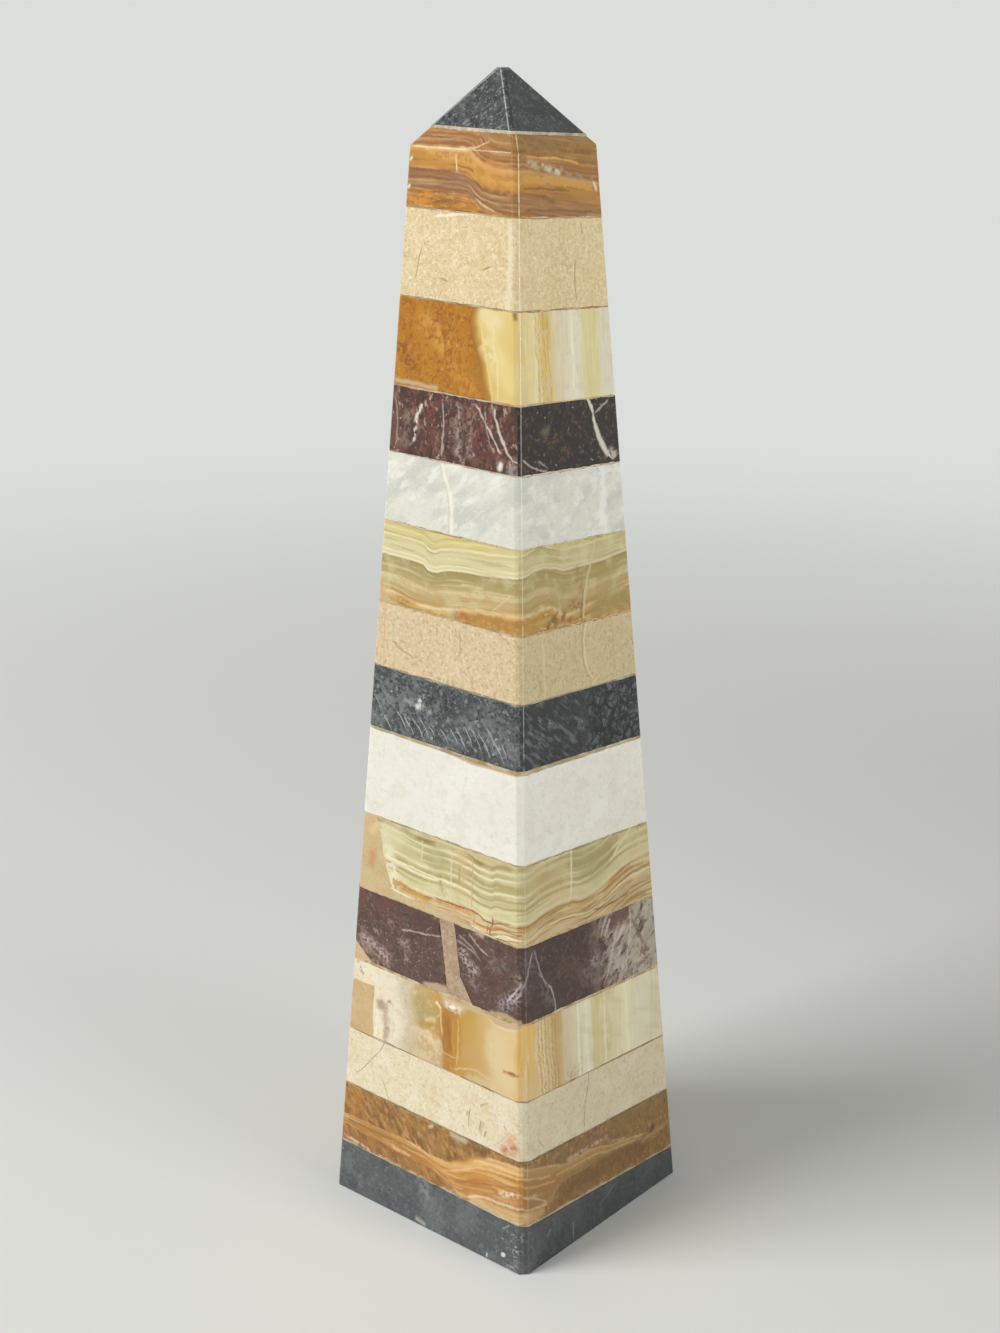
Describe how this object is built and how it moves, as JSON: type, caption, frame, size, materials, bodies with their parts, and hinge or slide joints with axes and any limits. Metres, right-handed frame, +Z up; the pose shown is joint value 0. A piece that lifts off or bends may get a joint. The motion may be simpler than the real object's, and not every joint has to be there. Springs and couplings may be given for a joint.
{
  "type": "specimen stone obelisk",
  "caption": "Table obelisk of polished marble, limestone and onyx courses glued in resin, one tapered square shaft with a pyramid point, free standing.",
  "frame": {"origin": "centre of the foot, on the surface it stands on", "axes": "+Z up along the shaft, X along the front face, +Y from the front face to the back"},
  "size_m": [0.1054, 0.102, 0.4566],
  "materials": {
    "charcoal_stone": "polished",
    "brown_onyx": "polished",
    "cream_marble": "polished",
    "honey_onyx": "polished",
    "burgundy_marble": "polished",
    "green_onyx": "polished",
    "white_marble": "polished",
    "grey_white_marble": "polished",
    "beige_limestone": "polished",
    "resin": "polished with the stone"
  },
  "bodies": {
    "root": {"charcoal_base": "charcoal_stone", "brown_onyx_lower": "brown_onyx", "cream_marble_lower": "cream_marble", "honey_onyx_lower": "honey_onyx", "honey_lower_fill": "resin", "burgundy_left_block": "burgundy_marble", "burgundy_right_block": "burgundy_marble", "burgundy_joint_fill": "resin", "burgundy_corner_fill": "resin", "green_onyx_lower": "green_onyx", "green_lower_fill": "resin", "white_marble_lower": "white_marble", "charcoal_middle": "charcoal_stone", "beige_limestone": "beige_limestone", "green_onyx_upper": "green_onyx", "green_upper_fill": "resin", "white_marble_upper": "grey_white_marble", "burgundy_upper": "burgundy_marble", "honey_onyx_upper": "honey_onyx", "cream_marble_upper": "cream_marble", "brown_onyx_upper": "brown_onyx", "charcoal_cap": "charcoal_stone", "resin_bed_01": "resin", "resin_bed_02": "resin", "resin_bed_03": "resin", "resin_bed_04": "resin", "resin_bed_05": "resin", "resin_bed_06": "resin", "resin_bed_07": "resin", "resin_bed_08": "resin", "resin_bed_09": "resin", "resin_bed_10": "resin", "resin_bed_11": "resin", "resin_bed_12": "resin", "resin_bed_13": "resin", "resin_bed_14": "resin", "resin_bed_15": "resin"}
  },
  "joints": []
}
